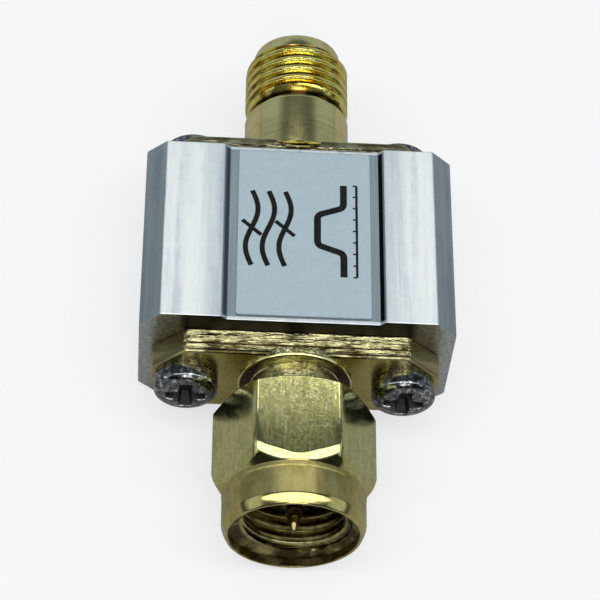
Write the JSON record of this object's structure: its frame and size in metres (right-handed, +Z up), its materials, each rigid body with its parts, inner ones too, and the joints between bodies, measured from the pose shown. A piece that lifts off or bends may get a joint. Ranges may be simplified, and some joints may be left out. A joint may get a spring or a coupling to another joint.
{
  "type": "rf bandpass filter",
  "caption": "Inline coaxial band-pass filter: extruded aluminium housing with a label channel, flanged threaded socket at one end and a plug with a turning hex coupling nut at the other",
  "frame": {"origin": "under the middle of the whole length, on the plane that the housing's back rests on", "axes": "+X across the label to the right, +Y along the signal path towards the socket, +Z up out of the label face; the plug and its nut point to -Y"},
  "size_m": [0.0178, 0.0332, 0.0084],
  "materials": {
    "aluminium_extrusion": "brushed along its length",
    "label_foil": "flat satin foil label, blank",
    "gold_plate": "pale gold plate on turned and milled brass",
    "nut_gold_plate": "pale gold plate on turned and milled brass",
    "contact_gold": "bright gold plate",
    "phosphor_bronze": "plain spring bronze",
    "blackened_steel": "blackened, semi-gloss",
    "ptfe": "waxy white",
    "board_laminate": "solder-masked laminate",
    "chip_ceramic": "matt fired ceramic",
    "capacitor_ceramic": "matt fired ceramic",
    "solder": "bright tin solder"
  },
  "bodies": {
    "module": {"housing": "aluminium_extrusion", "label": "label_foil", "socket_body": "gold_plate", "socket_insulator": "ptfe", "socket_contact": "contact_gold", "plug_body": "gold_plate", "plug_insulator": "ptfe", "centre_pin": "contact_gold", "snap_ring": "phosphor_bronze", "plug_screw_left": "blackened_steel", "plug_screw_right": "blackened_steel", "socket_screw_left": "blackened_steel", "socket_screw_right": "blackened_steel", "circuit_board": "board_laminate", "filter_chip": "chip_ceramic", "series_capacitor_input": "capacitor_ceramic", "series_capacitor_output": "capacitor_ceramic", "shunt_inductor_input": "chip_ceramic", "shunt_inductor_output": "chip_ceramic", "input_solder": "solder", "output_solder": "solder"},
    "nut": {"coupling_nut": "nut_gold_plate"}
  },
  "joints": [
    {"name": "coupling_nut_turn", "type": "hinge", "parent": "module", "child": "nut", "pos_m": [0, -0.0126, 0.0042], "axis": [0, -1, 0], "continuous": true}
  ]
}
